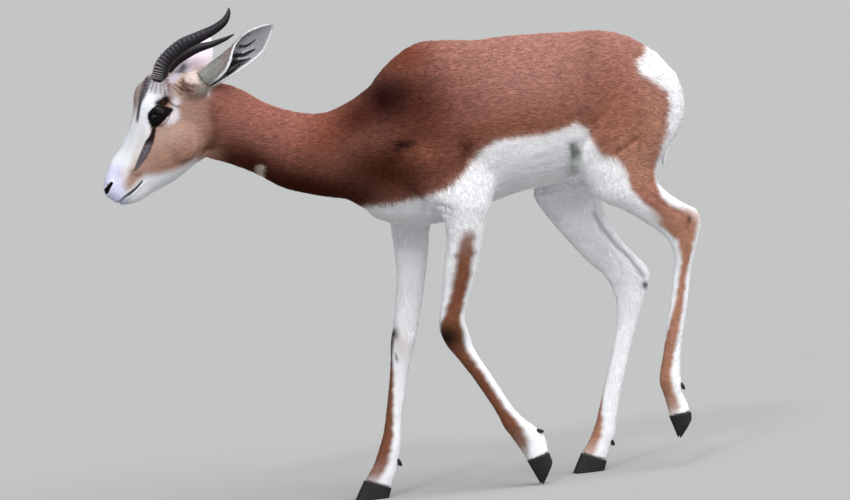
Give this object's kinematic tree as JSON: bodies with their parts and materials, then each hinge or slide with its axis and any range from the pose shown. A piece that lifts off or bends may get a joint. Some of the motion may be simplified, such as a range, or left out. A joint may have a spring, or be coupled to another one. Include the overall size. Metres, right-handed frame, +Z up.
{
  "type": "gazelle",
  "caption": "Life-size still model of a walking mhorr gazelle with slender ringed horns, in white and chestnut short fur.",
  "frame": {"origin": "on the floor, under the middle of the whole animal's box", "axes": "the animal faces -X, its left side is at -Y, +Z is up"},
  "size_m": [1.2636, 0.308, 1.0754],
  "materials": {
    "dewclaw_fore_left_inner": "satin horn, worn",
    "dewclaw_fore_left_outer": "satin horn, worn",
    "dewclaw_fore_right_inner": "satin horn, worn",
    "dewclaw_fore_right_outer": "satin horn, worn",
    "dewclaw_hind_left_inner": "satin horn, worn",
    "dewclaw_hind_left_outer": "satin horn, worn",
    "dewclaw_hind_right_inner": "satin horn, worn",
    "dewclaw_hind_right_outer": "satin horn, worn",
    "ear_left": "thin short fur, grey-beige",
    "ear_right": "thin short fur, grey-beige",
    "eye_left": "wet gloss",
    "eye_right": "wet gloss",
    "fore_lower_left": "short matt fur, white with a brown stripe",
    "fore_lower_right": "short matt fur, white with a brown stripe",
    "fore_upper_left": "short matt fur, white with a brown stripe",
    "fore_upper_right": "short matt fur, white with a brown stripe",
    "head": "short matt fur, white and tan",
    "hind_lower_left": "short matt fur, white with a brown stripe",
    "hind_lower_right": "short matt fur, white with a brown stripe",
    "hind_upper_left": "short matt fur, white with a brown stripe",
    "hind_upper_right": "short matt fur, white with a brown stripe",
    "hoof_fore_left_inner": "satin horn, worn",
    "hoof_fore_left_outer": "satin horn, worn",
    "hoof_fore_right_inner": "satin horn, worn",
    "hoof_fore_right_outer": "satin horn, worn",
    "hoof_hind_left_inner": "satin horn, worn",
    "hoof_hind_left_outer": "satin horn, worn",
    "hoof_hind_right_inner": "satin horn, worn",
    "hoof_hind_right_outer": "satin horn, worn",
    "horn_left": "satin horn with ridges",
    "horn_right": "satin horn with ridges",
    "neck": "short matt fur, chestnut",
    "tail": "short matt fur, white",
    "torso": "short matt fur, chestnut over white"
  },
  "bodies": {
    "root": {"dewclaw_fore_left_inner": "dewclaw_fore_left_inner", "dewclaw_fore_left_outer": "dewclaw_fore_left_outer", "dewclaw_fore_right_inner": "dewclaw_fore_right_inner", "dewclaw_fore_right_outer": "dewclaw_fore_right_outer", "dewclaw_hind_left_inner": "dewclaw_hind_left_inner", "dewclaw_hind_left_outer": "dewclaw_hind_left_outer", "dewclaw_hind_right_inner": "dewclaw_hind_right_inner", "dewclaw_hind_right_outer": "dewclaw_hind_right_outer", "ear_left": "ear_left", "ear_right": "ear_right", "eye_left": "eye_left", "eye_right": "eye_right", "fore_lower_left": "fore_lower_left", "fore_lower_right": "fore_lower_right", "fore_upper_left": "fore_upper_left", "fore_upper_right": "fore_upper_right", "head": "head", "hind_lower_left": "hind_lower_left", "hind_lower_right": "hind_lower_right", "hind_upper_left": "hind_upper_left", "hind_upper_right": "hind_upper_right", "hoof_fore_left_inner": "hoof_fore_left_inner", "hoof_fore_left_outer": "hoof_fore_left_outer", "hoof_fore_right_inner": "hoof_fore_right_inner", "hoof_fore_right_outer": "hoof_fore_right_outer", "hoof_hind_left_inner": "hoof_hind_left_inner", "hoof_hind_left_outer": "hoof_hind_left_outer", "hoof_hind_right_inner": "hoof_hind_right_inner", "hoof_hind_right_outer": "hoof_hind_right_outer", "horn_left": "horn_left", "horn_right": "horn_right", "neck": "neck", "tail": "tail", "torso": "torso"}
  },
  "joints": []
}
